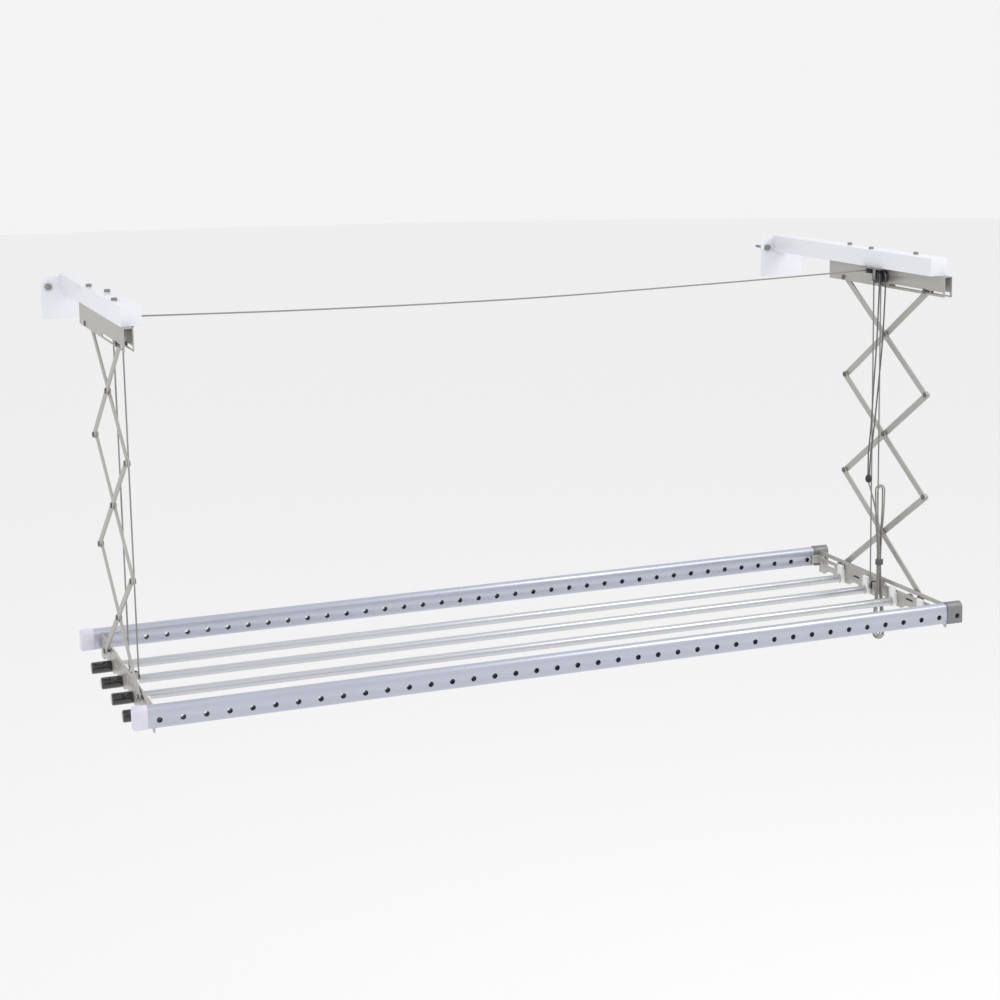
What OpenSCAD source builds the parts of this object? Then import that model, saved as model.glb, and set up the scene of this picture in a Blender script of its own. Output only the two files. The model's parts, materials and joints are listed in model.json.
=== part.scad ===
// Wall-mounted clothes airer: two wall arms carry scissor linkages that
// lower and raise a horizontal rack of hanging bars by cords and pulleys.
// Row frame: X along the wall, +Y into the wall, Z up. Origin on the wall
// plane, midway between the two wall plates, at the height of their screws.
// The rack is modelled fully lowered.

/* [Rack] */
// Distance from the middle of the object to each scissor's mid plane
scissor_x = 785; // [700:5:900]
// Spacing of the hanger holes along both outer bars
hole_pitch = 40; // [38:0.5:42]
// Diameter of one hanger hole
hole_d = 10; // [6:0.5:12]
// Depth of an outer bar from front face to back face
bar_depth = 20; // [18:1:24]
// Height of an outer bar
bar_height = 38; // [34:1:44]
// Wall thickness of the hollow outer bars
bar_wall = 1.6; // [1:0.2:2.4]
// Diameter of the four inner rods
rod_d = 16; // [12:1:18]
// Wall thickness of the inner rods
rod_wall = 1.2; // [0.8:0.2:2]

/* [Linkage] */
// Distance between the end pivots of one link
link_len = 368; // [350:1:368]
// Angle of the links below the horizontal when the rack is lowered
drop_angle = 33.8; // [30:0.1:34]
// Width of one link bar
link_w = 13; // [10:0.5:14]
// Thickness of one link bar
link_t = 3; // [2:0.1:3]
// Diameter of the pivot pins and rivets
pin_d = 6; // [5:0.5:6]

/* [Wall arm] */
// Width of a wall plate
plate_w = 100; // [90:1:110]
// Height of a wall plate
plate_h = 82; // [70:1:90]
// Length of an arm out from the wall
arm_len = 630; // [600:5:645]
// Width of an arm
arm_w = 36; // [34:1:40]
// Height of an arm
arm_h = 34; // [30:1:38]

/* [Cords] */
// Diameter of the cords
cord_d = 3; // [2:0.5:3]
// Length of the bundled tail of the pull cord
hank_len = 300; // [200:10:340]

/* [Hidden] */
$fn = 48;

// linkage stations in the Y-Z plane
pin_r = pin_d / 2;
running_gap = 0.05;
fit_gap = 0.1;
open_gap = 0.25;
fit_r = pin_r + running_gap;
open_r = pin_r + open_gap;
rear_y = -274;
stage_w = link_len * cos(drop_angle);
stage_h = link_len * sin(drop_angle);
front_y = rear_y - stage_w;
folded_front_y = -642;
slot_back_y = -452;
top_z = -42;
mid_y = (rear_y + front_y) / 2;
bottom_z = top_z - 3 * stage_h;

// the two planes that the links lie in, measured out from the middle
plane_gap = 0.8;
q_x = scissor_x - plane_gap / 2 - link_t;
p_x = scissor_x + plane_gap / 2;
head_r = 5;
head_t = 1.6;
head_gap = 0.3;

// arms, channels and plates
plate_x = 780;
plate_t = 3;
plate_top_z = 20;
screw_offset = 36;
screw_r = 3;
screw_neck_r = 3.4;
screw_head_r = 7;
screw_head_t = 5;
screw_reach = 45;
arm_x = 776;
arm_bottom_z = -8;
arm_wall = 2;
channel_w = 17;
channel_wall = 1.5;
channel_bottom_z = -48;
channel_back_y = -218;
channel_front_y = -650;
slot_r = pin_r + 0.2;
bolt_ys = [-285, -535];
bolt_r = 3;

// pulleys
sheave_r = 12;
sheave_groove_r = 9;
sheave_w = 8;
sheave_line_r = 10.8;
sheave_z = -26;
axle_r = 2;
cord_r = cord_d / 2;
strand_y = -430;
strand_in_x = 755;
strand_out_x = 771;
lead_x = 769;
right_sheave_y = strand_y - sheave_line_r;
left_sheave_x = -strand_in_x + sheave_line_r;
guide_x = lead_x - sheave_line_r;
guide_y = -415;
guide_z = sheave_z + sheave_line_r;
bracket_z = -10;
bracket_t = 2;
bracket_bolt_y = -392;
cord_joint_z = -44;
anchor_r = 9.5;
anchor_groove_r = 6.1;
anchor_line_r = 8;
anchor_x = (strand_in_x + strand_out_x) / 2;
anchor_z = -664;

// rack
hole_z = -664;
hole_x0 = -772;
hole_count = 40;
bar_top_r = bar_depth / 2;
bar_bottom_z = hole_z - 13;
front_bar_y = -696;
back_bar_y = -183;
bar_left_x = -791;
bar_right_x = 796.5;
cap_len = 25;
cap_plug = 12;
fitting_x = 766;
fitting_end_x = 799;
fitting_wall = 1.6;
rail_x = 776;
rail_t = 3;
rail_top_z = -645;
rail_bottom_z = -692;
rail_end_gap = 0.4;
rear_slot_ys = [-258, -205];
rod_z = -683;
rod_pitch = (back_bar_y - front_bar_y) / 5;
rod_cap_r = 11;
rod_cap_len = 37;
rod_cap_x = 779.3;
rod_end_x = 809;

// cord routes
bead_at = [732, -457, -432];
bead_len = 16;
bead_r = 7;
hank_x = 759;
hank_top_z = -458;
hank_w = 28;
hank_t = 16;

X = [1, 0, 0];
Y = [0, 1, 0];
Z = [0, 0, 1];

// points on a quarter or half turn about c, in the plane of u and v
function turn_pts(c, u, v, r, a0, a1, n) =
  [for (i = [0:n]) let (a = a0 + (a1 - a0) * i / n) c + r * (cos(a) * u + sin(a) * v)];

// from the left lifting cord over the left sheave, across to the guide
// pulley, round it and over the second right sheave
cross_route = concat(
  [[-strand_in_x, strand_y, cord_joint_z]],
  turn_pts([left_sheave_x, strand_y, sheave_z], -X, Z, sheave_line_r, 0, 90, 6),
  [[-400, -425, -24], [0, -418, -28], [400, -410, -23]],
  turn_pts([guide_x, guide_y, guide_z], Y, X, sheave_line_r, 0, 90, 6),
  turn_pts([lead_x, right_sheave_y, sheave_z], Z, -Y, sheave_line_r, 0, 90, 6)
);

// the right lifting cord's lead over the first right sheave and down to
// the bead
pull_route_a = concat(
  [[strand_in_x, strand_y, cord_joint_z]],
  turn_pts([strand_in_x, right_sheave_y, sheave_z], Y, Z, sheave_line_r, 0, 180, 10),
  [[753, -452, -80], [749, -453, -160], [743, -454, -240]],
  [[737, -456, -320], [731, -457, -380], [730.4, -457, -424]]
);

// the cross cord's tail from the second right sheave down to the bead
pull_route_b = [
  [769, -451.6, -26], [767, -452, -80], [762, -453, -160], [754, -454, -240],
  [745, -455.5, -320], [736, -457, -385], [733.6, -457, -424]
];

// ---- helpers ----

// a flat shape drawn in Y-Z, given thickness along +X from x
module yz_plate(x, t) {
  translate([x, 0, 0]) rotate([90, 0, 90]) linear_extrude(t) children();
}

// left-hand pieces are the mirror image of the right-hand ones
module on_side(side) {
  if (side > 0) children();
  if (side < 0) mirror([1, 0, 0]) children();
}

module x_rod(x0, x1, y, z, r) {
  translate([x0, y, z]) rotate([0, 90, 0]) cylinder(h = x1 - x0, r = r);
}

module y_rod(x, y0, y1, z, r) {
  translate([x, y1, z]) rotate([90, 0, 0]) cylinder(h = y1 - y0, r = r);
}

function rear(k) = [rear_y, top_z - k * stage_h];
function front(k) = [front_y, top_z - k * stage_h];
function centre(k) = [mid_y, top_z - (k - 0.5) * stage_h];

// unit helpers for the swept cords
function unit(v) = v / norm(v);
function tangent(p, i) =
  unit(p[min(i + 1, len(p) - 1)] - p[max(i - 1, 0)]);
// carries one side direction along the route without twisting it
function frames(p, i = 0, n = undef, out = []) =
  i == len(p) ? out :
  let (t = tangent(p, i))
  let (raw = is_undef(n) ? cross(t, abs(t[1]) < 0.8 ? Y : X) : n - (n * t) * t)
  let (side = unit(raw))
  frames(p, i + 1, side, concat(out, [[side, cross(t, side)]]));

// a closed tube swept along points p, as one polyhedron
module cord_tube(p, r, sides = 8) {
  f = frames(p);
  rings = [for (i = [0:len(p) - 1]) for (k = [0:sides - 1])
    let (a = 360 * k / sides)
    p[i] + r * (cos(a) * f[i][0] + sin(a) * f[i][1])];
  walls = [for (i = [0:len(p) - 2]) for (k = [0:sides - 1])
    let (k2 = (k + 1) % sides)
    [i * sides + k, i * sides + k2, (i + 1) * sides + k2, (i + 1) * sides + k]];
  start = [[for (k = [sides - 1:-1:0]) k]];
  finish = [[for (k = [0:sides - 1]) (len(p) - 1) * sides + k]];
  polyhedron(points = rings, faces = [for (w = concat(walls, start, finish))
    [for (j = [len(w) - 1:-1:0]) w[j]]]);
}

// ---- wall fixings and arms ----

module wall_plate(side) {
  color("white") on_side(side) difference() {
    translate([plate_x - plate_w / 2, -plate_t, plate_top_z - plate_h])
      cube([plate_w, plate_t, plate_h]);
    for (s = [-1, 1])
      y_rod(plate_x + s * screw_offset, -plate_t - 1, 1, 0, screw_neck_r + running_gap);
  }
}

module wall_screws() {
  color("dimgray") for (side = [-1, 1], s = [-1, 1]) {
    x = side * plate_x + s * screw_offset;
    y_rod(x, -plate_t - 1, 0, 0, screw_neck_r);
    y_rod(x, -1, screw_reach, 0, screw_r);
    translate([x, -plate_t, 0]) rotate([90, 0, 0])
      cylinder(h = screw_head_t, r = screw_head_r, $fn = 6);
  }
}

// hollow arm, closed at its front end
module arm(side) {
  inner_w = arm_w - 2 * arm_wall;
  inner_h = arm_h - 2 * arm_wall;
  color("white") on_side(side) difference() {
    translate([arm_x - arm_w / 2, -arm_len, arm_bottom_z])
      cube([arm_w, arm_len - plate_t, arm_h]);
    translate([arm_x - inner_w / 2, -arm_len + arm_wall, arm_bottom_z + arm_wall])
      cube([inner_w, arm_len - plate_t - 2 * arm_wall, inner_h]);
    for (y = bolt_ys)
      translate([scissor_x, y, arm_bottom_z - 1])
        cylinder(h = arm_h + 2, r = bolt_r + running_gap);
    translate([strand_out_x, bracket_bolt_y, arm_bottom_z - 1])
      cylinder(h = arm_h + 2, r = bolt_r + running_gap);
  }
}

// inverted U that holds the top pins, with a slot for the sliding one
module channel(side) {
  h = arm_bottom_z - channel_bottom_z;
  clear_w = channel_w - 2 * channel_wall;
  color("gainsboro") on_side(side) difference() {
    translate([scissor_x - channel_w / 2, channel_front_y, channel_bottom_z])
      cube([channel_w, channel_back_y - channel_front_y, h]);
    translate([scissor_x - clear_w / 2, channel_front_y - 1, channel_bottom_z - 1])
      cube([clear_w, channel_back_y - channel_front_y + 2, h - channel_wall + 1]);
    x_rod(scissor_x - channel_w, scissor_x + channel_w, rear_y, top_z, pin_r + running_gap);
    for (y = [slot_back_y, folded_front_y])
      x_rod(scissor_x - channel_w, scissor_x + channel_w, y, top_z, slot_r);
    translate([scissor_x - channel_w, folded_front_y, top_z - slot_r])
      cube([2 * channel_w, slot_back_y - folded_front_y, 2 * slot_r]);
    for (y = bolt_ys)
      translate([scissor_x, y, arm_bottom_z - h])
        cylinder(h = 2 * h, r = bolt_r + running_gap);
    x_rod(scissor_x - channel_w, scissor_x, right_sheave_y, sheave_z, axle_r + running_gap);
  }
}

module bolt_down(x, y, reach_z) {
  head_z = arm_bottom_z + arm_h;
  translate([x, y, reach_z]) cylinder(h = head_z - reach_z + 1, r = bolt_r);
  translate([x, y, head_z]) cylinder(h = 4.5, r = 5.5, $fn = 6);
  translate([x, y, reach_z]) cylinder(h = 3, r = 5.2, $fn = 6);
}

module arm_bolts() {
  nut_z = arm_bottom_z - channel_wall - 3;
  color("dimgray") for (side = [-1, 1]) on_side(side) {
    for (y = bolt_ys) bolt_down(scissor_x, y, nut_z);
    bolt_down(strand_out_x, bracket_bolt_y, bracket_z - 3);
  }
}

// ---- pulleys at the arms ----

module sheave(r, groove, w, bore) {
  h = w / 2;
  rotate_extrude() polygon([
    [bore, -h], [r, -h], [r, 1 - h], [groove, -1],
    [groove, 1], [r, h - 1], [r, h], [bore, h]
  ]);
}

module sheave_left() {
  color("#26272a") translate([left_sheave_x, strand_y, sheave_z]) rotate([90, 0, 0])
    sheave(sheave_r, sheave_groove_r, sheave_w, axle_r + running_gap);
}

module sheaves_right() {
  color("#26272a") for (x = [strand_in_x, lead_x])
    translate([x, right_sheave_y, sheave_z]) rotate([0, 90, 0])
      sheave(sheave_r, sheave_groove_r, sheave_w, axle_r + running_gap);
}

module guide_pulley() {
  color("#26272a") translate([guide_x, guide_y, guide_z])
    sheave(sheave_r, sheave_groove_r, sheave_w, axle_r + running_gap);
}

// pressed plate under the arm: a tab with the bolt hole, cheeks for the
// sheave and a leg with the eye that the lifting cord is tied to
module bracket_tab(x0, x1, y0, y1) {
  difference() {
    translate([x0, y0, bracket_z]) cube([x1 - x0, y1 - y0, bracket_t]);
    translate([strand_out_x, bracket_bolt_y, bracket_z - 1])
      cylinder(h = bracket_t + 2, r = bolt_r + running_gap);
  }
}

module cord_eye() {
  leg_y = strand_y + cord_r + 1;
  leg_w = 4;
  foot_x = strand_out_x - 4;
  translate([strand_out_x + 0.2, leg_y, cord_joint_z])
    cube([leg_w, bracket_t, bracket_z - cord_joint_z]);
  translate([foot_x, strand_y - 3, cord_joint_z])
    cube([strand_out_x + 0.2 + leg_w - foot_x, leg_y - strand_y + 3 + bracket_t, bracket_t]);
}

module pulley_bracket_left() {
  cheek_gap = sheave_w / 2 + 0.6;
  sheave_x = -left_sheave_x;
  color("silver") on_side(-1) {
    bracket_tab(sheave_x - 14, strand_out_x + 5, strand_y - 12, bracket_bolt_y + 8);
    for (y = [strand_y - cheek_gap - bracket_t, strand_y + cheek_gap]) difference() {
      translate([sheave_x - 9, y, sheave_z - 6])
        cube([18, bracket_t, bracket_z - sheave_z + 6]);
      y_rod(sheave_x, y - 1, y + bracket_t + 1, sheave_z, axle_r + running_gap);
    }
    cord_eye();
  }
}

module pulley_bracket_right() {
  cheek_x = strand_in_x - sheave_w / 2 - 3;
  cheek_w = 8;
  color("silver") {
    difference() {
      bracket_tab(cheek_x, strand_out_x + 5, right_sheave_y - 16, bracket_bolt_y + 8);
      translate([guide_x, guide_y, bracket_z - 1])
        cylinder(h = bracket_t + 2, r = axle_r + running_gap);
    }
    difference() {
      translate([cheek_x, right_sheave_y - cheek_w / 2, sheave_z - 4])
        cube([bracket_t, cheek_w, bracket_z - sheave_z + 4]);
      x_rod(cheek_x - 1, cheek_x + 4, right_sheave_y, sheave_z, axle_r + running_gap);
    }
    cord_eye();
  }
}

module sheave_axles() {
  cheek_gap = sheave_w / 2 + 0.6 + bracket_t;
  cheek_x = strand_in_x - sheave_w / 2 - 3;
  color("darkgray") {
    y_rod(left_sheave_x, strand_y - cheek_gap - 1, strand_y + cheek_gap + 1, sheave_z, axle_r);
    x_rod(cheek_x - 1.5, scissor_x - channel_w / 2 + 3, right_sheave_y, sheave_z, axle_r);
    translate([guide_x, guide_y, guide_z - sheave_w / 2 - 2])
      cylinder(h = bracket_z + bracket_t - guide_z + sheave_w / 2 + 2, r = axle_r);
    translate([guide_x, guide_y, guide_z - sheave_w / 2 - 2])
      cylinder(h = 1.5, r = axle_r + 2);
  }
}

// ---- scissor linkages ----

module link_shape(hole_r) {
  difference() {
    union() {
      translate([0, -link_w / 2]) square([link_len, link_w]);
      circle(r = link_w / 2);
      translate([link_len, 0]) circle(r = link_w / 2);
    }
    circle(r = hole_r[0]);
    translate([link_len / 2, 0]) circle(r = hole_r[1]);
    translate([link_len, 0]) circle(r = hole_r[2]);
  }
}

// one flat link from pivot a to pivot b, lying in the plane that starts at x
module link(side, x, a, b, hole_r) {
  color("#d8d6d2") on_side(side) yz_plate(x, link_t)
    translate(a) rotate(atan2(b[1] - a[1], b[0] - a[0])) link_shape(hole_r);
}

// q links run down towards the front, p links down towards the wall
module link_q(side, k) {
  first = k == 2 ? open_r : fit_r;
  link(side, q_x, rear(k - 1), front(k), [first, fit_r, fit_r]);
}

module link_p(side, k) {
  first = k == 3 ? open_r : fit_r;
  last = k == 3 && side < 0 ? open_r : fit_r;
  link(side, p_x, front(k - 1), rear(k), [first, fit_r, last]);
}

module pin(x0, x1, at) {
  x_rod(x0, x1, at[0], at[1], pin_r);
  x_rod(x0 - head_t, x0, at[0], at[1], head_r);
  x_rod(x1, x1 + head_t, at[0], at[1], head_r);
}

// rivet through both link planes
module rivet(at) {
  pin(q_x - head_gap, p_x + link_t + head_gap, at);
}

// pin through both flanges of the channel
module channel_pin(at) {
  half = channel_w / 2 + head_gap;
  pin(scissor_x - half, scissor_x + half, at);
}

module rivets_q(side, k) {
  color("#8d8a86") on_side(side) {
    if (k != 2) rivet(centre(k));
    if (k != 3) rivet(front(k));
    if (k == 3) pin(rail_x - head_gap, q_x + link_t + 0.2, front(3));
  }
}

module rivets_p(side, k) {
  color("#8d8a86") on_side(side) {
    if (k == 1) channel_pin(front(0));
    if (k == 2) rivet(centre(2));
    rivet(rear(k));
  }
}

module top_pins() {
  color("#8d8a86") for (side = [-1, 1]) on_side(side) channel_pin(rear(0));
}

// ---- rack ----

module bottom_pins() {
  color("#8d8a86") for (side = [-1, 1]) on_side(side)
    pin(rail_x, p_x + link_t + head_gap, rear(3));
}

// plate between the two outer bars; its lower edge swings down round
// each rod
module side_rail(side) {
  scallop_r = 42;
  scallop_z = rail_bottom_z - scallop_r + 9;
  end_gap = rail_end_gap + (side > 0 ? fitting_wall : 0);
  rail_back_y = back_bar_y - end_gap;
  rail_front_y = front_bar_y + bar_depth + end_gap;
  color("#cfccc8") on_side(side) difference() {
    yz_plate(rail_x, rail_t) difference() {
      translate([rail_front_y, rail_bottom_z])
        square([rail_back_y - rail_front_y, rail_top_z - rail_bottom_z]);
      for (i = [0:4])
        translate([back_bar_y - (i + 0.5) * rod_pitch, scallop_z]) circle(r = scallop_r);
      for (i = [0.5, 1.5, 3.5, 4.5])
        translate([back_bar_y - i * rod_pitch, rail_top_z - 24])
          square([30, 6], center = true);
    }
    x_rod(rail_x - 1, rail_x + rail_t + 1, rear_y, bottom_z, fit_r);
    for (slot = [[folded_front_y, slot_back_y], rear_slot_ys]) {
      for (y = slot)
        x_rod(rail_x - 1, rail_x + rail_t + 1, y, bottom_z, slot_r);
      translate([rail_x - 1, slot[0], bottom_z - slot_r])
        cube([rail_t + 2, slot[1] - slot[0], 2 * slot_r]);
    }
    for (i = [1:4])
      x_rod(rail_x - 1, rail_x + rail_t + 1, back_bar_y - i * rod_pitch, rod_z,
        rod_d / 2 + running_gap);
  }
}

// bullet-shaped bar section in Y-Z, grown outwards by g; its lowest front
// corner stands at y = 0, z = 0
module bar_section(g) {
  side_h = bar_height - bar_top_r;
  translate([-g, -g]) square([bar_depth + 2 * g, side_h + g]);
  translate([bar_top_r, side_h]) circle(r = bar_top_r + g);
}

module hanger_holes(front_face, x_from, x_to) {
  for (i = [0:hole_count - 1]) {
    x = hole_x0 + i * hole_pitch;
    if (x > x_from && x < x_to)
      y_rod(x, front_face - 5, front_face + bar_depth + 5, hole_z, hole_d / 2);
  }
}

module bar(front_face) {
  color("#d5d7dd") difference() {
    translate([0, front_face, bar_bottom_z]) difference() {
      yz_plate(bar_left_x, bar_right_x - bar_left_x) bar_section(0);
      yz_plate(bar_left_x - 1, bar_right_x - bar_left_x + 2) bar_section(-bar_wall);
    }
    hanger_holes(front_face, bar_left_x, bar_right_x);
  }
}

// moulded cap with a plug that fills the bar's end
module bar_end_caps() {
  color("#eceaf4") for (y = [front_bar_y, back_bar_y]) translate([0, y, bar_bottom_z]) {
    yz_plate(bar_left_x - cap_len, cap_len) bar_section(0.8);
    yz_plate(bar_left_x - 1, cap_plug + 1) bar_section(-bar_wall - fit_gap);
  }
}

// cast sleeve over the right-hand end of each bar, where the rail meets it
module bar_end_fittings() {
  sleeve = fitting_end_x - fitting_x;
  end_t = fitting_end_x - bar_right_x - 0.5;
  color("#77777c") for (y = [front_bar_y, back_bar_y]) difference() {
    translate([0, y, bar_bottom_z]) difference() {
      yz_plate(fitting_x, sleeve) bar_section(fitting_wall);
      yz_plate(fitting_x - 1, sleeve - end_t + 1) bar_section(fit_gap);
    }
    hanger_holes(y, fitting_x, fitting_end_x);
  }
}

// angle that ties the rail to a bar, one leg on each
module corner_bracket(side, y, dir) {
  leg = 18;
  t = 2;
  z0 = hole_z - 8;
  h = 18;
  inner_x = rail_x - running_gap;
  on_side(side) {
    translate([inner_x - t, dir > 0 ? y : y - leg, z0]) cube([t, leg, h]);
    translate([inner_x - leg, dir > 0 ? y : y - t, z0]) cube([leg, t, h]);
    x_rod(inner_x - t - 1.5, inner_x - t, y + dir * 12, z0 + 9, 3.5);
  }
}

module corner_brackets() {
  color("#b9b8b6") for (side = [-1, 1]) {
    gap = running_gap + (side > 0 ? fitting_wall : 0);
    corner_bracket(side, front_bar_y + bar_depth + gap, 1);
    corner_bracket(side, back_bar_y - gap, -1);
  }
}

module rod(i) {
  y = back_bar_y - i * rod_pitch;
  color("#d9dade") difference() {
    x_rod(-rod_end_x, rod_end_x, y, rod_z, rod_d / 2);
    x_rod(-rod_end_x - 1, rod_end_x + 1, y, rod_z, rod_d / 2 - rod_wall);
  }
}

// glossy cap pushed over each rod end
module rod_caps() {
  color("#101012") for (side = [-1, 1], i = [1:4]) on_side(side)
    translate([rod_cap_x, back_bar_y - i * rod_pitch, rod_z]) rotate([0, 90, 0])
      rotate_extrude() polygon([
        [rod_d / 2 + running_gap, 0], [rod_cap_r, 0], [rod_cap_r, rod_cap_len - 2],
        [rod_cap_r - 2, rod_cap_len], [0, rod_cap_len],
        [0, rod_end_x - rod_cap_x + 1], [rod_d / 2 + running_gap, rod_end_x - rod_cap_x + 1]
      ]);
}

// moulded collar round the rod on the rail's inner face, with a tab above
// that stands clear of the pins' heads
module rod_clips() {
  clip_t = 9;
  tab_w = 17;
  tab_top = -654;
  relief_z = bottom_z - head_r - 1;
  relief_t = 2.5;
  inner = rail_x - fit_gap;
  color("white") for (side = [-1, 1], i = [1:4]) on_side(side) {
    y = back_bar_y - i * rod_pitch;
    difference() {
      union() {
        x_rod(inner - clip_t, inner, y, rod_z, rod_cap_r);
        translate([inner - clip_t, y - tab_w / 2, rod_z])
          cube([clip_t, tab_w, tab_top - rod_z]);
      }
      x_rod(inner - clip_t - 1, inner + 1, y, rod_z, rod_d / 2 + running_gap);
      translate([inner - relief_t, y - tab_w, relief_z])
        cube([relief_t + 1, 2 * tab_w, tab_top - relief_z + 1]);
    }
  }
}

// ---- pulleys on the rack ----

// clevis on the rail's inner face, with the axle of its sheave
module anchor_blocks() {
  cheek_gap = sheave_w / 2 + 0.6;
  cheek_t = 2;
  back_t = 2.5;
  nose_x = anchor_x - 6;
  inner = rail_x - fit_gap;
  color("#c9c7c4") for (side = [-1, 1]) on_side(side) {
    translate([inner - back_t, strand_y - cheek_gap - cheek_t, anchor_z - 13])
      cube([back_t, 2 * (cheek_gap + cheek_t), 26]);
    for (y = [strand_y - cheek_gap - cheek_t, strand_y + cheek_gap])
      translate([nose_x, y, anchor_z - 8]) cube([inner - nose_x, cheek_t, 16]);
    y_rod(anchor_x, strand_y - cheek_gap - 3, strand_y + cheek_gap + 3, anchor_z, axle_r);
    y_rod(anchor_x, strand_y - cheek_gap - 4.5, strand_y - cheek_gap - 3, anchor_z, 4);
  }
}

module anchor_sheave(side) {
  color("#26272a") on_side(side) translate([anchor_x, strand_y, anchor_z])
    rotate([90, 0, 0]) sheave(anchor_r, anchor_groove_r, sheave_w, axle_r + running_gap);
}

// ---- cords ----

// two vertical falls and the turn under the rack's sheave
module lifting_cord(side) {
  color("#8e8e90") on_side(side) {
    for (x = [strand_in_x, strand_out_x])
      translate([x, strand_y, anchor_z]) cylinder(h = cord_joint_z - anchor_z, r = cord_r);
    translate([anchor_x, strand_y, anchor_z]) rotate([-90, 0, 0])
      rotate_extrude(angle = 180) translate([anchor_line_r, 0]) circle(r = cord_r);
  }
}

module cross_cord() {
  color("#8e8e90") cord_tube(cross_route, cord_r);
}

module pull_cords() {
  color("#5c5c60") {
    cord_tube(pull_route_a, cord_r);
    cord_tube(pull_route_b, cord_r);
  }
}

module pull_bead() {
  color("#3a3a3e") translate(bead_at - [0, 0, bead_len / 2])
    cylinder(h = bead_len, r = bead_r);
}

// the tail of the pull cord, folded up and tied
module pull_hank() {
  r = hank_w / 2;
  color("#c7c4bd") translate([hank_x, bead_at[1] + hank_t / 2, 0]) rotate([90, 0, 0])
    linear_extrude(hank_t) {
      translate([0, hank_top_z]) circle(r = r);
      translate([0, hank_top_z - hank_len]) circle(r = r);
      translate([-r, hank_top_z - hank_len]) square([hank_w, hank_len]);
    }
}

wall_plate(-1);  // wall_plate_left
wall_plate(1);  // wall_plate_right
wall_screws();
arm(-1);  // arm_left
arm(1);  // arm_right
channel(-1);  // channel_left
channel(1);  // channel_right
arm_bolts();
pulley_bracket_left();
pulley_bracket_right();
sheave_left();
sheaves_right();
guide_pulley();
sheave_axles();
top_pins();
link_q(-1, 1);  // link_left_q1
link_q(-1, 2);  // link_left_q2
link_q(-1, 3);  // link_left_q3
link_p(-1, 1);  // link_left_p1
link_p(-1, 2);  // link_left_p2
link_p(-1, 3);  // link_left_p3
link_q(1, 1);  // link_right_q1
link_q(1, 2);  // link_right_q2
link_q(1, 3);  // link_right_q3
link_p(1, 1);  // link_right_p1
link_p(1, 2);  // link_right_p2
link_p(1, 3);  // link_right_p3
rivets_q(-1, 1);  // rivets_left_q1
rivets_q(-1, 2);  // rivets_left_q2
rivets_q(-1, 3);  // rivets_left_q3
rivets_p(-1, 1);  // rivets_left_p1
rivets_p(-1, 2);  // rivets_left_p2
rivets_q(1, 1);  // rivets_right_q1
rivets_q(1, 2);  // rivets_right_q2
rivets_q(1, 3);  // rivets_right_q3
rivets_p(1, 1);  // rivets_right_p1
rivets_p(1, 2);  // rivets_right_p2
bottom_pins();
side_rail(-1);  // side_rail_left
side_rail(1);  // side_rail_right
bar(front_bar_y);  // front_bar
bar(back_bar_y);  // back_bar
bar_end_caps();
bar_end_fittings();
corner_brackets();
rod(1);  // rod_1
rod(2);  // rod_2
rod(3);  // rod_3
rod(4);  // rod_4
rod_caps();
rod_clips();
anchor_blocks();
anchor_sheave(-1);  // anchor_sheave_left
anchor_sheave(1);  // anchor_sheave_right
lifting_cord(-1);  // lifting_cord_left
lifting_cord(1);  // lifting_cord_right
cross_cord();
pull_cords();
pull_bead();
pull_hank();
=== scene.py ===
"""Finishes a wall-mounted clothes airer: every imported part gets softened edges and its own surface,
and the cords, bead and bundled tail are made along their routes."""

import json
import math

import bmesh
import bpy
from mathutils import Matrix, Vector


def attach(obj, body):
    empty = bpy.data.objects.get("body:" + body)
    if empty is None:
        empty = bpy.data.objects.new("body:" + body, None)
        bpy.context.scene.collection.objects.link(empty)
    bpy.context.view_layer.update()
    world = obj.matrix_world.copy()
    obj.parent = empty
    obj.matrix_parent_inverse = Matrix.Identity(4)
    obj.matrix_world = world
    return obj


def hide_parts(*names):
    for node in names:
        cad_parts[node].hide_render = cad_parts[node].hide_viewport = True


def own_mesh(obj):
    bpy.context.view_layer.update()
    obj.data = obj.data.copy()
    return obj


bl_info = {
    "name": "Wall airer finish",
    "version": (1, 0, 0),
    "blender": (4, 5, 0),
    "location": "View3D > Sidebar > Airer",
    "description": "Adds the finished surfaces, cords and studio of a wall-mounted clothes airer",
    "category": "Object",
}

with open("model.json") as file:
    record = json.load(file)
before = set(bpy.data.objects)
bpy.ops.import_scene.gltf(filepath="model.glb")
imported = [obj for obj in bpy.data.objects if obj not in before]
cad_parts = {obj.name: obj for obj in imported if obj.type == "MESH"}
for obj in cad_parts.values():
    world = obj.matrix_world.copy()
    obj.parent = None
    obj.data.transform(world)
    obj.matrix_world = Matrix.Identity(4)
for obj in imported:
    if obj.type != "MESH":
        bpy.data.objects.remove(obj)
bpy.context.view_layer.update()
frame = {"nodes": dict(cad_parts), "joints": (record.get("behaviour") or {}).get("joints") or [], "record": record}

MM = 0.001
SIDES = ("left", "right")
LINKS = ("q1", "q2", "q3", "p1", "p2", "p3")

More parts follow.
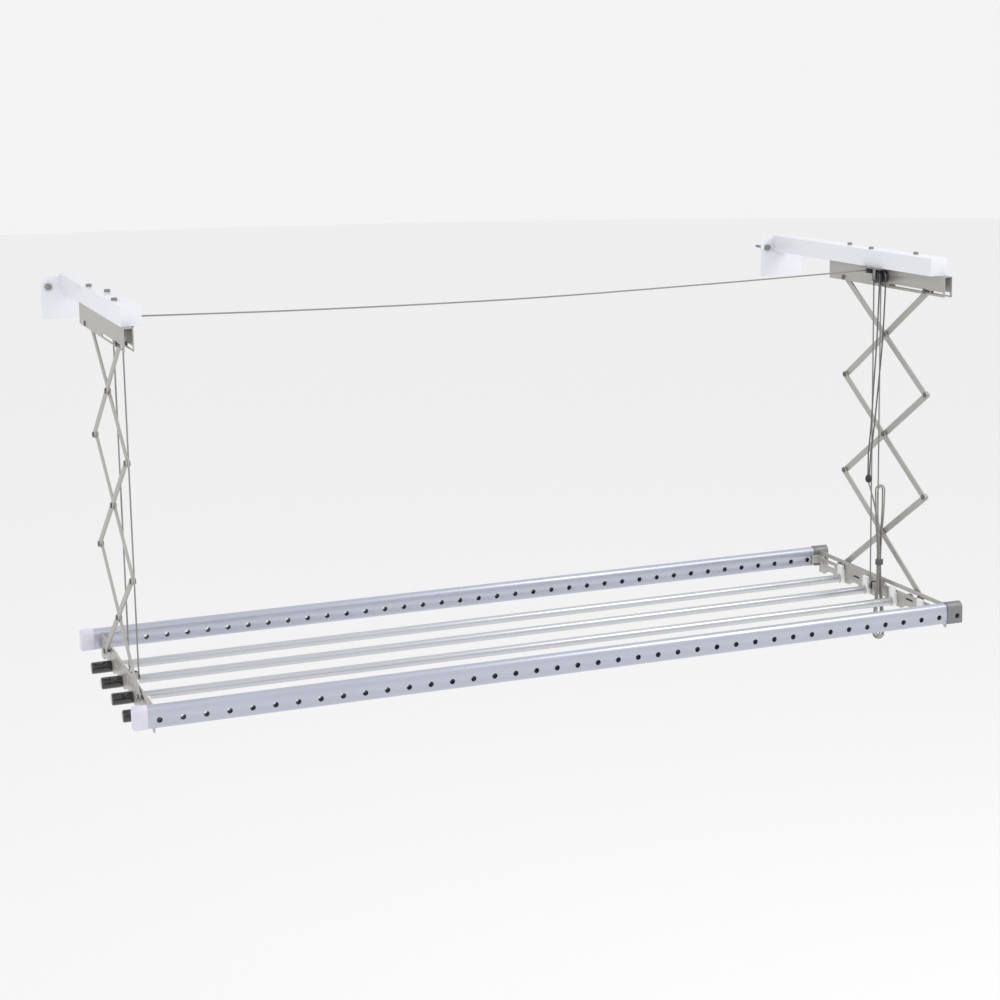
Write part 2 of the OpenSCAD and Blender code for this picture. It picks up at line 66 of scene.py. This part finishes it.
# where the cords run, in metres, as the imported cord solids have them
STRAND_IN_X, STRAND_OUT_X, STRAND_Y = 0.755, 0.771, -0.430
LEAD_X, RIGHT_SHEAVE_Y, SHEAVE_Z = 0.769, -0.4408, -0.026
LEFT_SHEAVE_X, GUIDE_X, GUIDE_Y = -0.7442, 0.7582, -0.415
LINE_R, GUIDE_Z = 0.0108, -0.0152
CORD_JOINT_Z = -0.044
ANCHOR_X, ANCHOR_Z, ANCHOR_LINE_R = 0.763, -0.664, 0.008
BEAD_AT = Vector((0.732, -0.457, -0.432))
BEAD_LEN = 0.016
HANK_X, HANK_TOP_Z, HANK_LEN = 0.759, -0.458, 0.300
HANK_FOLD_R, HANK_NEST, HANK_FAN = 0.0105, 0.0036, math.radians(30)
HANK_WAIST = (0.0019, 0.0036)
TIE_R, TIE_CORD, TIE_TURNS = 0.0070, 0.0022, 5

CROSS_SAG = [(-0.400, -0.425, -0.024), (0.0, -0.418, -0.028), (0.400, -0.410, -0.023)]
PULL_A_FALL = [
    (0.753, -0.452, -0.080), (0.749, -0.453, -0.160), (0.743, -0.454, -0.240),
    (0.737, -0.456, -0.320), (0.731, -0.457, -0.380), (0.7304, -0.457, -0.424),
]
PULL_B_FALL = [
    (0.769, -0.4516, -0.026), (0.767, -0.452, -0.080), (0.762, -0.453, -0.160),
    (0.754, -0.454, -0.240), (0.745, -0.4555, -0.320), (0.736, -0.457, -0.385),
    (0.7336, -0.457, -0.424),
]


# ---------------------------------------------------------------- properties


class AirerFinish(bpy.types.PropertyGroup):
    """Colours of the airer's surfaces"""

    white_paint: bpy.props.FloatVectorProperty(
        name="Arm paint", description="Powder coat on the arms and wall plates",
        subtype="COLOR", size=3, default=(0.80, 0.81, 0.86))
    link_paint: bpy.props.FloatVectorProperty(
        name="Link metal", description="Satin metal of the scissor links and channels",
        subtype="COLOR", size=3, default=(0.44, 0.43, 0.405))
    bar_metal: bpy.props.FloatVectorProperty(
        name="Bar metal", description="Anodised aluminium of the outer bars",
        subtype="COLOR", size=3, default=(0.52, 0.54, 0.62))
    cord_light: bpy.props.FloatVectorProperty(
        name="Cord", description="Braided cord on the lifting side",
        subtype="COLOR", size=3, default=(0.30, 0.295, 0.28))
    cord_dark: bpy.props.FloatVectorProperty(
        name="Pull cord", description="Braided pull strands, darkened by handling",
        subtype="COLOR", size=3, default=(0.15, 0.15, 0.155))


class AirerSizes(bpy.types.PropertyGroup):
    """Sizes of the pieces that are finished by hand"""

    cord_diameter: bpy.props.FloatProperty(
        name="Cord diameter", description="Diameter of every cord",
        default=0.003, min=0.002, max=0.003, unit="LENGTH")
    edge_radius: bpy.props.FloatProperty(
        name="Edge radius", description="Softening of pressed and cut metal edges",
        default=0.0005, min=0.0001, max=0.001, unit="LENGTH")
    tail_turns: bpy.props.IntProperty(
        name="Tail turns", description="Turns of cord in the bundled tail",
        default=3, min=2, max=4)


class AirerCamera(bpy.types.PropertyGroup):
    """Where the object is seen from"""

    place: bpy.props.FloatVectorProperty(
        name="Place", description="Camera position", subtype="TRANSLATION", size=3,
        default=(-1.394, -3.957, 0.408))
    heading: bpy.props.FloatProperty(
        name="Heading", description="Turn to the right of straight at the wall",
        default=math.radians(20.834), subtype="ANGLE")
    tilt: bpy.props.FloatProperty(
        name="Tilt", description="Look upwards", default=math.radians(-9.383), subtype="ANGLE")
    roll: bpy.props.FloatProperty(
        name="Roll", description="Lean to one side", default=math.radians(-1.029), subtype="ANGLE")
    lens: bpy.props.FloatProperty(
        name="Lens", description="Focal length in millimetres on a 36 mm sensor", default=73.21)


# ------------------------------------------------------------ shader wrapper


class Sock:
    """An output socket that takes part in Python arithmetic"""

    def __init__(self, tree, socket):
        self.tree = tree
        self.socket = socket

    def add(self, kind, settings=None, values=None, out=0):
        """Any node: its settings are set first, then its sockets' values or links"""
        node = self.tree.nodes.new(kind)
        for name, value in (settings or {}).items():
            if name == "stops":
                set_stops(node, value)
            else:
                setattr(node, name, value)
        for name, value in (values or {}).items():
            if isinstance(value, Sock):
                self.tree.links.new(value.socket, node.inputs[name])
            else:
                node.inputs[name].default_value = value
        return Sock(self.tree, node.outputs[out])

    def math(self, operation, a, b=0.0):
        return self.add("ShaderNodeMath", {"operation": operation}, {0: a, 1: b})

    def __add__(self, other):
        return self.math("ADD", self, other)

    def __sub__(self, other):
        return self.math("SUBTRACT", self, other)

    def __rsub__(self, other):
        return self.math("SUBTRACT", other, self)

    def __mul__(self, other):
        return self.math("MULTIPLY", self, other)

    __radd__ = __add__
    __rmul__ = __mul__

    def stretch(self, x, y, z):
        """The same coordinates, scaled along each axis"""
        return self.add("ShaderNodeVectorMath", {"operation": "MULTIPLY"}, {0: self, 1: (x, y, z)})

    def noise(self, scale, detail=3.0, roughness=0.5):
        values = {"Vector": self, "Scale": scale, "Detail": detail, "Roughness": roughness}
        return self.add("ShaderNodeTexNoise", {}, values)

    def blend(self, low, high):
        """A colour that goes from low to high as this value goes from 0 to 1"""
        stops = ((0.0, (*low, 1.0)), (1.0, (*high, 1.0)))
        return self.add("ShaderNodeValToRGB", {"stops": stops}, {"Fac": self})

    def between(self, low, high):
        """A number that goes from low to high as this value goes from 0.3 to 0.7"""
        values = {"Value": self, "From Min": 0.3, "From Max": 0.7, "To Min": low, "To Max": high}
        return self.add("ShaderNodeMapRange", {}, values)

    def bump(self, strength, distance):
        values = {"Height": self, "Strength": strength, "Distance": distance}
        return self.add("ShaderNodeBump", {}, values)


def set_stops(ramp, stops):
    elements = ramp.color_ramp.elements
    for element, (place, colour) in zip(elements, stops):
        element.position = place
        element.color = colour


def surface(name, metallic=0.0, coat=0.0, specular=0.5):
    """A new material; returns it, its shader and its object coordinates"""
    material = bpy.data.materials.new(name)
    material.use_nodes = True
    tree = material.node_tree
    shader = tree.nodes["Principled BSDF"]
    shader.inputs["Metallic"].default_value = metallic
    shader.inputs["Coat Weight"].default_value = coat
    shader.inputs["Specular IOR Level"].default_value = specular
    coords = tree.nodes.new("ShaderNodeTexCoord")
    return material, shader, Sock(tree, coords.outputs["Object"])


def wire(shader, **sockets):
    """Links worked-out values to the shader's sockets, named with _ for a space"""
    tree = shader.id_data
    for name, value in sockets.items():
        tree.links.new(value.socket, shader.inputs[name.replace("_", " ")])


def tint(colour, factor):
    return tuple(min(1.0, c * factor) for c in colour)


# ----------------------------------------------------------------- materials

MADE = {}


def finish_named(name):
    """The material of that name, made the first time it is asked for"""
    if name not in MADE:
        MADE[name] = FINISHES[name]()
    return MADE[name]


def powder_coat():
    """Smooth white powder coat with a faint orange peel"""
    colour = tuple(bpy.context.scene.airer_finish.white_paint)
    material, shader, place = surface("powder_coat", coat=0.25)
    cloud = place.noise(6.0, 4.0)
    peel = place.noise(700.0, 2.0)
    wire(shader, Base_Color=cloud.blend(tint(colour, 0.95), tint(colour, 1.03)),
         Roughness=cloud.between(0.34, 0.46), Normal=peel.bump(0.05, 0.0004))
    return material


def brushed_metal(name, colour, metallic, rough, grain, depth):
    """Metal with a grain that runs along one axis, given as scales along X, Y and Z"""
    material, shader, place = surface(name, metallic=metallic)
    streak = place.stretch(*grain).noise(1.0, 5.0, 0.6)
    cloud = place.noise(9.0, 3.0)
    wire(shader, Base_Color=(streak * 0.6 + cloud * 0.4).blend(tint(colour, 0.9), tint(colour, 1.08)),
         Roughness=streak.between(rough - 0.05, rough + 0.07), Normal=streak.bump(depth, 0.0002))
    return material


def link_metal():
    colour = tuple(bpy.context.scene.airer_finish.link_paint)
    return brushed_metal("link_metal", colour, 0.45, 0.42, (60, 40, 40), 0.12)


def rail_metal():
    colour = tint(tuple(bpy.context.scene.airer_finish.link_paint), 1.08)
    return brushed_metal("rail_metal", colour, 0.5, 0.40, (60, 12, 300), 0.15)


def bar_metal():
    colour = tuple(bpy.context.scene.airer_finish.bar_metal)
    return brushed_metal("bar_metal", colour, 0.75, 0.34, (3, 500, 500), 0.18)


def rod_metal():
    return brushed_metal("rod_metal", (0.58, 0.59, 0.62), 0.7, 0.30, (3, 600, 600), 0.12)


def dark_metal_and_painted_shade():
    # dark grey of the right-hand bar end fittings: partly their own dark metal, partly painted shade
    return brushed_metal("dark_metal_and_painted_shade", (0.24, 0.24, 0.25), 0.5, 0.46, (180, 180, 180), 0.3)


def zinc():
    return brushed_metal("zinc", (0.30, 0.29, 0.28), 0.9, 0.36, (140, 140, 140), 0.2)


def rivet_steel():
    return brushed_metal("rivet_steel", (0.17, 0.165, 0.16), 0.85, 0.38, (220, 220, 220), 0.2)


def moulded(name, colour, rough, coat, grain):
    """Moulded plastic with a fine surface and slight shade changes"""
    material, shader, place = surface(name, coat=coat)
    cloud = place.noise(40.0, 3.0)
    skin = place.noise(1500.0, 2.0)
    wire(shader, Base_Color=cloud.blend(tint(colour, 0.9), tint(colour, 1.1)),
         Roughness=cloud.between(rough - 0.04, rough + 0.05), Normal=skin.bump(grain, 0.0002))
    return material


def pulley_black():
    return moulded("pulley_black", (0.022, 0.022, 0.024), 0.42, 0.1, 0.1)


def cap_black():
    return moulded("cap_black", (0.004, 0.004, 0.005), 0.10, 0.8, 0.02)


def cap_white():
    return moulded("cap_white", (0.66, 0.65, 0.74), 0.33, 0.3, 0.06)


def clip_white():
    return moulded("clip_white", (0.86, 0.86, 0.85), 0.4, 0.1, 0.08)


def braid(name, colour):
    """Braided cord: two sets of crossing strands over a slightly mottled colour"""
    material, shader, place = surface(name, specular=0.3)
    wave = {"wave_type": "BANDS", "bands_direction": "DIAGONAL"}
    one = place.add("ShaderNodeTexWave", wave, {"Vector": place, "Scale": 260.0, "Distortion": 0.4})
    other = place.add("ShaderNodeTexWave", wave,
                      {"Vector": place.stretch(-1, 1, 1), "Scale": 260.0, "Distortion": 0.4})
    strands = one.math("MAXIMUM", one, other)
    mottle = place.noise(90.0, 3.0)
    wire(shader, Base_Color=(strands * 0.7 + mottle * 0.3).blend(tint(colour, 0.6), tint(colour, 1.15)),
         Roughness=mottle.between(0.72, 0.9), Normal=strands.bump(0.6, 0.0003))
    return material


def cord_light():
    return braid("cord_light", tuple(bpy.context.scene.airer_finish.cord_light))


def cord_dark():
    return braid("cord_dark", tuple(bpy.context.scene.airer_finish.cord_dark))


FINISHES = {f.__name__: f for f in (
    powder_coat, link_metal, rail_metal, bar_metal, rod_metal, dark_metal_and_painted_shade, zinc, rivet_steel,
    pulley_black, cap_black, cap_white, clip_white, cord_light, cord_dark)}


# ------------------------------------------------------------- mesh helpers


def body_of_node(node):
    bodies = frame["record"]["behaviour"]["bodies"]
    return next(body for body, members in bodies.items() if node in members)


def slot_of_node(node):
    return next(s["material_slot"] for s in frame["record"]["subparts"] if s["node"] == node)


def link_object(name, data):
    obj = bpy.data.objects.new(name, data)
    bpy.context.scene.collection.objects.link(obj)
    return obj


def smooth(mesh, angle=math.radians(32)):
    for face in mesh.polygons:
        face.use_smooth = True
    mesh.set_sharp_from_angle(angle=angle)


def place_piece(obj, material, body, slot, *nodes):
    """Gives a piece its surface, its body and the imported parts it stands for"""
    obj.data.materials.clear()
    obj.data.materials.append(finish_named(material))
    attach(obj, body)
    if nodes:
        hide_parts(*nodes)
    return obj


def softened(node, material, radius, segments=2):
    """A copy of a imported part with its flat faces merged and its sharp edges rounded"""
    mesh = frame["nodes"][node].data.copy()
    obj = link_object(node + "_finished", mesh)
    work = bmesh.new()
    work.from_mesh(mesh)
    bmesh.ops.remove_doubles(work, verts=work.verts, dist=1e-6)
    bmesh.ops.dissolve_limit(work, angle_limit=math.radians(0.5), verts=work.verts, edges=work.edges)
    work.to_mesh(mesh)
    work.free()
    bevel = obj.modifiers.new("edges", "BEVEL")
    bevel.width = radius
    bevel.segments = segments
    bevel.limit_method = "ANGLE"
    bevel.angle_limit = math.radians(35)
    bevel.use_clamp_overlap = True
    depsgraph = bpy.context.evaluated_depsgraph_get()
    final = bpy.data.meshes.new_from_object(obj.evaluated_get(depsgraph))
    obj.modifiers.clear()
    obj.data = final
    smooth(final)
    return place_piece(obj, material, body_of_node(node), slot_of_node(node), node)


def turn(centre, u, v, radius, start, end, count):
    """Points on an arc about centre, in the plane of u and v, angles in degrees"""
    points = []
    for i in range(count + 1):
        angle = math.radians(start + (end - start) * i / count)
        points.append(Vector(centre) + radius * (math.cos(angle) * Vector(u) + math.sin(angle) * Vector(v)))
    return points


def fine_line(points, spacing):
    """The route as a smooth curve through its points, at an even spacing"""
    points = [Vector(p) for p in points]
    line = []
    for i in range(len(points) - 1):
        before, a = points[max(i - 1, 0)], points[i]
        b, after = points[i + 1], points[min(i + 2, len(points) - 1)]
        steps = max(1, round((b - a).length / spacing))
        for k in range(steps):
            t = k / steps
            line.append(0.5 * (2 * a + (b - before) * t + (2 * before - 5 * a + 4 * b - after) * t * t
                               + (3 * a - before - 3 * b + after) * t ** 3))
    line.append(points[-1])
    return line


def line_length(points):
    return sum((b - a).length for a, b in zip(points, points[1:]))


def rope_mesh(name, line, radius, sides=10):
    """A closed tube along a line, its ends capped flat"""
    mesh = bpy.data.meshes.new(name)
    work = bmesh.new()
    rings = []
    side = None
    for i, point in enumerate(line):
        along = (line[min(i + 1, len(line) - 1)] - line[max(i - 1, 0)]).normalized()
        if side is None:
            side = along.orthogonal().normalized()
        side = (side - side.dot(along) * along).normalized()
        other = along.cross(side)
        ring = []
        for k in range(sides):
            angle = math.tau * k / sides
            ring.append(work.verts.new(point + radius * (math.cos(angle) * side + math.sin(angle) * other)))
        rings.append(ring)
    for a, b in zip(rings, rings[1:]):
        for k in range(sides):
            work.faces.new((a[k], a[(k + 1) % sides], b[(k + 1) % sides], b[k]))
    work.faces.new(list(reversed(rings[0])))
    work.faces.new(rings[-1])
    bmesh.ops.recalc_face_normals(work, faces=work.faces)
    work.to_mesh(mesh)
    work.free()
    smooth(mesh, math.radians(60))
    return link_object(name, mesh)


def lathe(name, profile, centre, axis, steps=40):
    """A turned piece: profile is (distance along axis, radius) pairs in metres"""
    mesh = bpy.data.meshes.new(name)
    work = bmesh.new()
    axis = Vector(axis)
    u = axis.orthogonal().normalized()
    v = axis.cross(u)
    rings = []
    for along, radius in profile:
        ring = []
        for k in range(steps):
            angle = math.tau * k / steps
            out = math.cos(angle) * u + math.sin(angle) * v
            ring.append(work.verts.new(Vector(centre) + along * axis + radius * out))
        rings.append(ring)
    for a, b in zip(rings, rings[1:]):
        for k in range(steps):
            work.faces.new((a[k], a[(k + 1) % steps], b[(k + 1) % steps], b[k]))
    work.faces.new(list(reversed(rings[0])))
    work.faces.new(rings[-1])
    bmesh.ops.recalc_face_normals(work, faces=work.faces)
    work.to_mesh(mesh)
    work.free()
    smooth(mesh)
    return link_object(name, mesh)


# --------------------------------------------------------------- operators


class Piece(bpy.types.Operator):
    """Makes one group of the airer's pieces"""

    bl_options = {"REGISTER", "UNDO"}

    def execute(self, context):
        self.make(context)
        return {"FINISHED"}


class AIRER_OT_camera(Piece):
    """Places the camera"""

    bl_idname = "airer.camera"
    bl_label = "Camera"

    def make(self, context):
        view = context.scene.airer_camera
        ahead = Vector((math.sin(view.heading) * math.cos(view.tilt),
                        math.cos(view.heading) * math.cos(view.tilt), math.sin(view.tilt)))
        level = Vector((math.cos(view.heading), -math.sin(view.heading), 0))
        above = level.cross(ahead)
        right = level * math.cos(view.roll) + above * math.sin(view.roll)
        up = above * math.cos(view.roll) - level * math.sin(view.roll)
        data = bpy.data.cameras.new("camera")
        data.lens = view.lens
        data.sensor_width = 36.0
        data.shift_y = -0.10
        data.clip_end = 60.0
        camera = link_object("camera", data)
        turned = Matrix((right, up, -ahead)).transposed().to_4x4()
        camera.matrix_world = Matrix.Translation(Vector(view.place)) @ turned
        context.scene.camera = camera


class AIRER_OT_pull_cords(Piece):
    """Makes the two pull strands that hang from the right-hand sheaves"""

    bl_idname = "airer.pull_cords"
    bl_label = "Pull cords"

    def make(self, context):
        diameter = context.scene.airer_sizes.cord_diameter
        over = turn((STRAND_IN_X, RIGHT_SHEAVE_Y, SHEAVE_Z), (0, 1, 0), (0, 0, 1), LINE_R, 0, 180, 10)
        start = Vector((STRAND_IN_X, STRAND_Y, CORD_JOINT_Z))
        strands = {"pull_cord_inner": [start] + over + PULL_A_FALL, "pull_cord_outer": PULL_B_FALL}
        for name, route in strands.items():
            line = fine_line(route, 0.004)
            obj = rope_mesh(name, line, diameter / 2)
            nodes = ["pull_cords"] if name == "pull_cord_inner" else []
            place_piece(obj, "cord_dark", "frame", "cord_dark", *nodes)
            line_length(line)


def hank_line(turns):
    """The tail's route: long narrow turns fanned about the bundle's upright axis and drawn in at
    its waist, where the last run ends under the tie"""
    low = HANK_TOP_Z - HANK_LEN
    points = []
    for k in range(turns):
        fan, after = (HANK_FAN * (n - (turns - 1) / 2) for n in (k, k + 1))
        nest = HANK_NEST * k
        for i in range(1, 8):
            points.append(hank_point(-1, fan, i / 8))
        for i in range(9):
            angle = math.pi * i / 8
            points.append(hank_offset(-HANK_FOLD_R * math.cos(angle), fan,
                                      low + nest - HANK_FOLD_R * math.sin(angle)))
        last = k == turns - 1
        for i in range(1, 5 if last else 8):
            points.append(hank_point(1, fan + (0 if last else (after - fan) * i / 8), 1 - i / 8))
        if not last:
            for i in range(9):
                angle = math.pi * i / 8
                points.append(hank_offset(HANK_FOLD_R * math.cos(angle), after,
                                          HANK_TOP_Z - nest + HANK_FOLD_R * math.sin(angle)))
    return points


def hank_offset(out, fan, z):
    """A point at that distance from the bundle's axis, in the plane turned by fan"""
    return Vector((HANK_X + out * math.cos(fan), BEAD_AT.y + out * math.sin(fan), z))


def hank_point(side, fan, share):
    """A point on a run, share of the way down, drawn in towards the waist"""
    drawn = math.sin(math.pi * share) ** 2
    wide = hank_offset(side * HANK_FOLD_R, fan, HANK_TOP_Z - HANK_LEN * share)
    tight = Vector((HANK_X + side * HANK_WAIST[0],
                    BEAD_AT.y + side * HANK_WAIST[1] * fan / HANK_FAN, wide.z))
    return wide.lerp(tight, drawn)


class AIRER_OT_hank(Piece):
    """Makes the bundled tail of the pull cord, with its tie"""

    bl_idname = "airer.hank"
    bl_label = "Bundled tail"

    def make(self, context):
        sizes = context.scene.airer_sizes
        diameter = sizes.cord_diameter
        drop = [Vector((BEAD_AT.x, BEAD_AT.y, BEAD_AT.z - BEAD_LEN / 2)),
                Vector((BEAD_AT.x + 0.004, BEAD_AT.y, BEAD_AT.z - BEAD_LEN / 2 - 0.012))]
        line = fine_line(drop + hank_line(sizes.tail_turns), 0.004)
        waist_z = HANK_TOP_Z - HANK_LEN / 2
        wound = [Vector((HANK_X + TIE_R * math.cos(math.tau * i / 24),
                         BEAD_AT.y + TIE_R * math.sin(math.tau * i / 24),
                         waist_z + TIE_CORD * (i / 24 - TIE_TURNS / 2)))
                 for i in range(24 * TIE_TURNS + 1)]
        tie = rope_mesh("tail_tie", wound, TIE_CORD / 2)
        place_piece(tie, "cord_dark", "frame", "cord_dark")
        obj = rope_mesh("tail_bundle", line, diameter / 2)
        place_piece(obj, "cord_light", "frame", "cord", "pull_hank")
        line_length(line)


class AIRER_OT_bead(Piece):
    """Makes the turned bead that joins the pull strands"""

    bl_idname = "airer.bead"
    bl_label = "Bead"

    def make(self, context):
        half = BEAD_LEN / 2
        profile = [(-half, 0.0022), (-half + 0.0006, 0.0040), (-half * 0.6, 0.0060), (-half * 0.2, 0.0069),
                   (half * 0.2, 0.0069), (half * 0.6, 0.0060), (half - 0.0006, 0.0040), (half, 0.0026)]
        obj = lathe("bead", profile, BEAD_AT, (0, 0, 1))
        place_piece(obj, "pulley_black", "frame", "pulley_plastic", "pull_bead")


class AIRER_OT_held_cords(Piece):
    """Makes the lifting cords and the cord that crosses between the arms"""

    bl_idname = "airer.held_cords"
    bl_label = "Held cords"

    def make(self, context):
        radius = context.scene.airer_sizes.cord_diameter / 2
        route = [(-STRAND_IN_X, STRAND_Y, CORD_JOINT_Z)]
        route += turn((LEFT_SHEAVE_X, STRAND_Y, SHEAVE_Z), (-1, 0, 0), (0, 0, 1), LINE_R, 0, 90, 6)
        route += CROSS_SAG
        route += turn((GUIDE_X, GUIDE_Y, GUIDE_Z), (0, 1, 0), (1, 0, 0), LINE_R, 0, 90, 6)
        route += turn((LEAD_X, RIGHT_SHEAVE_Y, SHEAVE_Z), (0, 0, 1), (0, -1, 0), LINE_R, 0, 90, 6)
        cross = rope_mesh("crossing_cord", fine_line(route, 0.006), radius)
        place_piece(cross, "cord_light", "frame", "cord", "cross_cord")
        for side, sign in (("left", -1), ("right", 1)):
            fall = [Vector((sign * STRAND_IN_X, STRAND_Y, CORD_JOINT_Z)),
                    Vector((sign * STRAND_IN_X, STRAND_Y, ANCHOR_Z))]
            under = turn((sign * ANCHOR_X, STRAND_Y, ANCHOR_Z), (-sign, 0, 0), (0, 0, -1),
                         ANCHOR_LINE_R, 0, 180, 12)
            end = [Vector((sign * STRAND_OUT_X, STRAND_Y, CORD_JOINT_Z))]
            obj = rope_mesh("lifting_cord_finished_" + side, fall + under[1:] + end, radius)
            place_piece(obj, "cord_light", "frame", "cord", "lifting_cord_" + side)
            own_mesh(obj)

    def raised_share(self):
        """How much of the lifting cords' length is left when the rack is fully up"""
        joints = {j["name"]: j for j in frame["joints"]}
        first_link = Vector(joints["right_p2_turn"]["pos_m"]) - Vector(joints["lift"]["pos_m"])
        slope = math.atan2(-first_link.z, -first_link.y)
        raised_slope = slope - math.radians(joints["lift"]["range_deg"][1])
        rise = 3 * first_link.length * (math.sin(slope) - math.sin(raised_slope))
        full = CORD_JOINT_Z - ANCHOR_Z
        return (full - rise) / full


class AIRER_OT_wall_arms(Piece):
    """Finishes the wall plates, arms and channels"""

    bl_idname = "airer.wall_arms"
    bl_label = "Wall arms"

    def make(self, context):
        edge = context.scene.airer_sizes.edge_radius
        for side in SIDES:
            softened("wall_plate_" + side, "powder_coat", 2 * edge)
            softened("arm_" + side, "powder_coat", 3 * edge, 3)
            softened("channel_" + side, "link_metal", edge)


class AIRER_OT_pulleys(Piece):
    """Finishes the sheaves, their brackets and axles"""

    bl_idname = "airer.pulleys"
    bl_label = "Pulleys"

    def make(self, context):
        edge = context.scene.airer_sizes.edge_radius
        for node in ("sheave_left", "sheaves_right", "guide_pulley"):
            softened(node, "pulley_black", 0.6 * edge)
        softened("sheave_axles", "zinc", 0.6 * edge)
        for side in SIDES:
            softened("anchor_sheave_" + side, "pulley_black", 0.6 * edge)
            softened("pulley_bracket_" + side, "zinc", 0.6 * edge)
        softened("anchor_blocks", "rail_metal", 0.6 * edge)


class AIRER_OT_linkages(Piece):
    """Finishes the scissor links, their rivets and pins"""

    bl_idname = "airer.linkages"
    bl_label = "Linkages"

    def make(self, context):
        edge = context.scene.airer_sizes.edge_radius
        for side in SIDES:
            for link in LINKS:
                softened(f"link_{side}_{link}", "link_metal", edge)
                if link != "p3":
                    softened(f"rivets_{side}_{link}", "rivet_steel", edge)
        for node in ("top_pins", "bottom_pins"):
            softened(node, "rivet_steel", edge)


class AIRER_OT_rack(Piece):
    """Finishes the side rails, bars and rods of the rack"""

    bl_idname = "airer.rack"
    bl_label = "Rack"

    def make(self, context):
        edge = context.scene.airer_sizes.edge_radius
        for side in SIDES:
            softened("side_rail_" + side, "rail_metal", edge)
        for node in ("front_bar", "back_bar"):
            softened(node, "bar_metal", 0.6 * edge)
        for number in range(1, 5):
            softened(f"rod_{number}", "rod_metal", 0.4 * edge)
        softened("corner_brackets", "rail_metal", 0.6 * edge)


class AIRER_OT_rack_ends(Piece):
    """Finishes the caps, clips and end fittings of the rack"""

    bl_idname = "airer.rack_ends"
    bl_label = "Rack ends"

    def make(self, context):
        edge = context.scene.airer_sizes.edge_radius
        softened("bar_end_caps", "cap_white", 4 * edge, 3)
        # the end fittings' dark grey is partly their own metal and partly painted shade
        softened("bar_end_fittings", "dark_metal_and_painted_shade", 2 * edge, 2)
        softened("rod_caps", "cap_black", 2 * edge, 3)
        softened("rod_clips", "clip_white", 1.4 * edge, 2)


class AIRER_OT_fixings(Piece):
    """Finishes the wall screws and arm bolts"""

    bl_idname = "airer.fixings"
    bl_label = "Fixings"

    def make(self, context):
        edge = context.scene.airer_sizes.edge_radius
        softened("wall_screws", "zinc", 1.2 * edge)
        softened("arm_bolts", "zinc", 1.2 * edge)


class AIRER_OT_stage(Piece):
    """Makes the pale floor and the soft studio light"""

    bl_idname = "airer.stage"
    bl_label = "Studio"

    def make(self, context):
        floor_mesh = bpy.data.meshes.new("floor")
        work = bmesh.new()
        bmesh.ops.create_circle(work, cap_ends=True, segments=96, radius=30.0)
        work.to_mesh(floor_mesh)
        work.free()
        floor = link_object("floor", floor_mesh)
        floor.location = (0, 0, -2.2)
        material = bpy.data.materials.new("floor_paint")
        material.use_nodes = True
        shader = material.node_tree.nodes["Principled BSDF"]
        shader.inputs["Base Color"].default_value = (0.95, 0.95, 0.95, 1)
        shader.inputs["Roughness"].default_value = 0.9
        floor.data.materials.append(material)
        world = bpy.data.worlds.new("studio")
        world.use_nodes = True
        background = world.node_tree.nodes["Background"]
        background.inputs["Color"].default_value = (1.0, 1.0, 1.0, 1.0)
        background.inputs["Strength"].default_value = 0.9
        context.scene.world = world
        context.scene.view_settings.view_transform = "Standard"
        self.lamp(context, "key", (2.6, -2.2, 2.4), (0.2, -0.4, -0.4), 2.4, 55)
        self.lamp(context, "fill", (-2.8, -2.6, 0.8), (0, -0.4, -0.4), 2.0, 14)

    def lamp(self, context, name, place, target, size, power):
        data = bpy.data.lights.new(name, "AREA")
        data.size = size
        data.energy = power
        lamp = link_object(name, data)
        lamp.location = place
        lamp.rotation_euler = (Vector(target) - Vector(place)).to_track_quat("-Z", "Y").to_euler()


class AIRER_PT_panel(bpy.types.Panel):
    """Lists the airer's pieces in the sidebar"""

    bl_label = "Wall airer"
    bl_space_type = "VIEW_3D"
    bl_region_type = "UI"
    bl_category = "Airer"

    def draw(self, context):
        for operator in PIECES:
            self.layout.operator(operator.bl_idname)
        for group in (context.scene.airer_finish, context.scene.airer_sizes):
            for name in group.bl_rna.properties.keys():
                if name not in ("rna_type", "name"):
                    self.layout.prop(group, name)


PIECES = (
    AIRER_OT_camera, AIRER_OT_bead, AIRER_OT_pull_cords, AIRER_OT_hank, AIRER_OT_held_cords,
    AIRER_OT_wall_arms, AIRER_OT_pulleys, AIRER_OT_linkages, AIRER_OT_rack, AIRER_OT_rack_ends,
    AIRER_OT_fixings, AIRER_OT_stage,
)
GROUPS = (AirerFinish, AirerSizes, AirerCamera)


def register():
    for cls in (*GROUPS, *PIECES, AIRER_PT_panel):
        bpy.utils.register_class(cls)
    bpy.types.Scene.airer_finish = bpy.props.PointerProperty(type=AirerFinish)
    bpy.types.Scene.airer_sizes = bpy.props.PointerProperty(type=AirerSizes)
    bpy.types.Scene.airer_camera = bpy.props.PointerProperty(type=AirerCamera)


def unregister():
    for name in ("airer_finish", "airer_sizes", "airer_camera"):
        delattr(bpy.types.Scene, name)
    for cls in reversed((*GROUPS, *PIECES, AIRER_PT_panel)):
        bpy.utils.unregister_class(cls)


def main():
    register()
    for operator in PIECES:
        group, name = operator.bl_idname.split(".")
        getattr(getattr(bpy.ops, group), name)()


if __name__ == "__main__":
    main()
